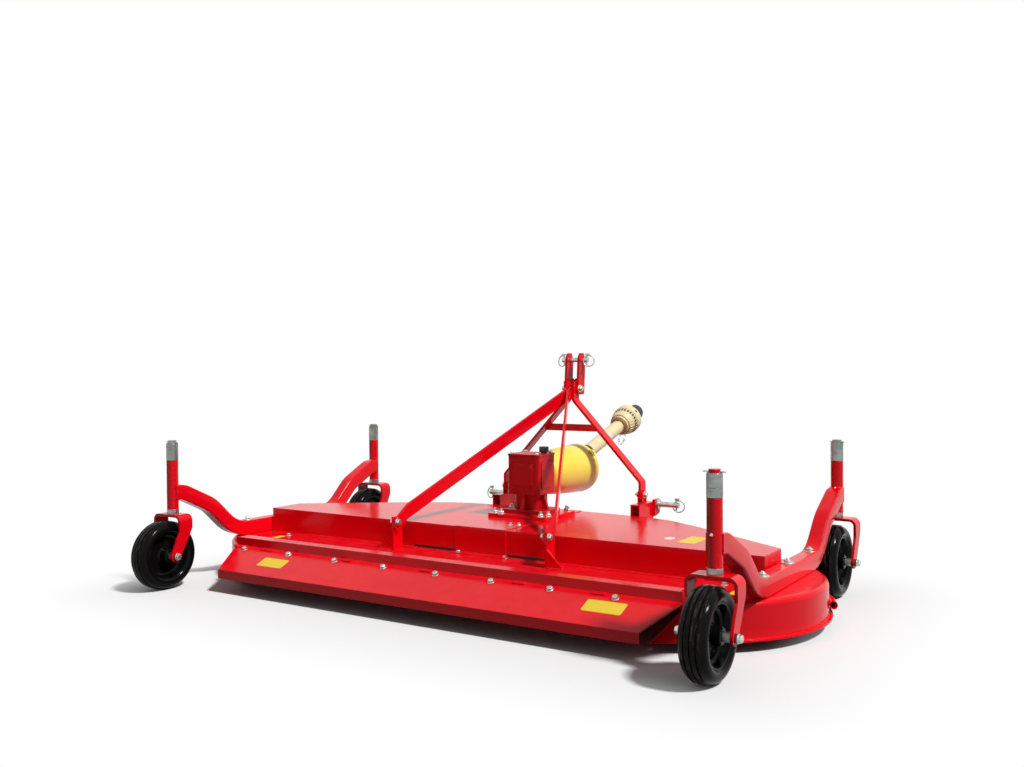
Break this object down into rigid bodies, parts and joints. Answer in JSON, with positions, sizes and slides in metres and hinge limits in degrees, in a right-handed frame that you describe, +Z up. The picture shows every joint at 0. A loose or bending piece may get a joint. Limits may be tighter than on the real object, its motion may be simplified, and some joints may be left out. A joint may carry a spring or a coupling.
{
  "type": "three-point hitch finishing mower",
  "caption": "Red rear-discharge finishing mower for a tractor's three-point hitch, with belt covers, a shielded drive shaft and trailing casters.",
  "frame": {"origin": "on the ground, below the middle of the machine's length and width", "axes": "+X to the machine's right, +Y the way it is pulled, +Z up"},
  "size_m": [2.376, 1.8932, 0.858],
  "materials": {
    "red_paint": "gloss red paint",
    "zinc_steel": "zinc plated",
    "dark_steel": "dark forged steel",
    "black_tyre": "smooth black rubber on a black rim",
    "yellow_plastic": "yellow moulded plastic",
    "cream_plastic": "faded cream plastic",
    "blade_steel": "dark spring steel"
  },
  "bodies": {
    "mower": {"deck_shell": "red_paint", "spindle_housings": "red_paint", "rear_beam": "red_paint", "rear_flap": "red_paint", "cover_left": "red_paint", "cover_right": "red_paint", "cover_centre": "red_paint", "side_frame_left": "red_paint", "side_frame_right": "red_paint", "hitch_bracket_left": "red_paint", "hitch_bracket_right": "red_paint", "hitch_pins": "zinc_steel", "a_frame_leg_left": "red_paint", "a_frame_leg_right": "red_paint", "mast_plates": "red_paint", "mast_pins": "zinc_steel", "cross_tie": "red_paint", "braces": "red_paint", "rear_brackets": "red_paint", "gearbox_base": "red_paint", "gearbox": "red_paint", "gearbox_lid": "red_paint", "shaft_shield": "yellow_plastic", "front_rails": "red_paint"},
    "blade_left": {"blade_left": "blade_steel"},
    "blade_centre": {"blade_centre": "blade_steel"},
    "blade_right": {"blade_right": "blade_steel"},
    "input_yoke": {"input_yoke": "dark_steel"},
    "joint_cross_rear": {"joint_cross_rear": "dark_steel"},
    "shaft_rear": {"shaft_rear": "dark_steel"},
    "guard_rear": {"guard_rear": "cream_plastic"},
    "shaft_front": {"shaft_front": "dark_steel"},
    "guard_front": {"guard_front": "cream_plastic"},
    "joint_cross_front": {"joint_cross_front": "dark_steel"},
    "end_yoke": {"end_yoke": "dark_steel"},
    "fork_front_left": {"fork_front_left": "red_paint", "axle_front_left": "zinc_steel"},
    "wheel_front_left": {"wheel_front_left": "black_tyre"},
    "fork_front_right": {"fork_front_right": "red_paint", "axle_front_right": "zinc_steel"},
    "wheel_front_right": {"wheel_front_right": "black_tyre"},
    "fork_rear_left": {"fork_rear_left": "red_paint", "axle_rear_left": "zinc_steel"},
    "wheel_rear_left": {"wheel_rear_left": "black_tyre"},
    "fork_rear_right": {"fork_rear_right": "red_paint", "axle_rear_right": "zinc_steel"},
    "wheel_rear_right": {"wheel_rear_right": "black_tyre"}
  },
  "joints": [
    {"name": "blade_left_spin", "type": "hinge", "parent": "mower", "child": "blade_left", "pos_m": [-0.765, -0.21058, 0.052], "axis": [0, 0, 1], "continuous": true},
    {"name": "blade_centre_spin", "type": "hinge", "parent": "mower", "child": "blade_centre", "pos_m": [0, 0.03442, 0.052], "axis": [0, 0, 1], "continuous": true},
    {"name": "blade_right_spin", "type": "hinge", "parent": "mower", "child": "blade_right", "pos_m": [0.765, -0.21058, 0.052], "axis": [0, 0, 1], "continuous": true},
    {"name": "input_spin", "type": "hinge", "parent": "mower", "child": "input_yoke", "pos_m": [0, 0.30142, 0.39], "axis": [0, 1, 0], "continuous": true},
    {"name": "shaft_pitch", "type": "hinge", "parent": "input_yoke", "child": "joint_cross_rear", "pos_m": [0, 0.30142, 0.39], "axis": [1, 0, 0], "range_deg": [-38.9, 3.1]},
    {"name": "shaft_yaw", "type": "hinge", "parent": "joint_cross_rear", "child": "shaft_rear", "pos_m": [0, 0.30142, 0.39], "axis": [0, -0.3074, 0.9516], "range_deg": [-21, 21]},
    {"name": "guard_rear_spin", "type": "hinge", "parent": "shaft_rear", "child": "guard_rear", "pos_m": [0, 0.30142, 0.39], "axis": [0, 0.9516, 0.3074], "continuous": true},
    {"name": "shaft_slide", "type": "slide", "parent": "shaft_rear", "child": "shaft_front", "axis": [0, 0.9516, 0.3074], "range_m": [-0.01, 0.18]},
    {"name": "guard_front_spin", "type": "hinge", "parent": "shaft_front", "child": "guard_front", "pos_m": [0, 0.8581, 0.5698], "axis": [0, 0.9516, 0.3074], "continuous": true},
    {"name": "end_pitch", "type": "hinge", "parent": "shaft_front", "child": "joint_cross_front", "pos_m": [0, 0.8581, 0.5698], "axis": [1, 0, 0], "range_deg": [-15, 15]},
    {"name": "end_yaw", "type": "hinge", "parent": "joint_cross_front", "child": "end_yoke", "pos_m": [0, 0.8581, 0.5698], "axis": [0, -0.3074, 0.9516], "range_deg": [-15, 15]},
    {"name": "swivel_front_left", "type": "hinge", "parent": "mower", "child": "fork_front_left", "pos_m": [-1.06, 0.35542, 0.271], "axis": [0, 0, 1], "continuous": true},
    {"name": "wheel_front_left_spin", "type": "hinge", "parent": "fork_front_left", "child": "wheel_front_left", "pos_m": [-1.06, 0.31042, 0.125], "axis": [1, 0, 0], "continuous": true},
    {"name": "swivel_front_right", "type": "hinge", "parent": "mower", "child": "fork_front_right", "pos_m": [1.06, 0.35542, 0.271], "axis": [0, 0, 1], "continuous": true},
    {"name": "wheel_front_right_spin", "type": "hinge", "parent": "fork_front_right", "child": "wheel_front_right", "pos_m": [1.06, 0.31042, 0.125], "axis": [1, 0, 0], "continuous": true},
    {"name": "swivel_rear_left", "type": "hinge", "parent": "mower", "child": "fork_rear_left", "pos_m": [-1.06, -0.77658, 0.271], "axis": [0, 0, 1], "continuous": true},
    {"name": "wheel_rear_left_spin", "type": "hinge", "parent": "fork_rear_left", "child": "wheel_rear_left", "pos_m": [-1.06, -0.82158, 0.125], "axis": [1, 0, 0], "continuous": true},
    {"name": "swivel_rear_right", "type": "hinge", "parent": "mower", "child": "fork_rear_right", "pos_m": [1.06, -0.77658, 0.271], "axis": [0, 0, 1], "continuous": true},
    {"name": "wheel_rear_right_spin", "type": "hinge", "parent": "fork_rear_right", "child": "wheel_rear_right", "pos_m": [1.06, -0.82158, 0.125], "axis": [1, 0, 0], "continuous": true}
  ],
  "couplings": [
    {"joint": "blade_left_spin", "follows": "input_spin", "ratio": 5},
    {"joint": "blade_centre_spin", "follows": "input_spin", "ratio": 5},
    {"joint": "blade_right_spin", "follows": "input_spin", "ratio": 5}
  ]
}
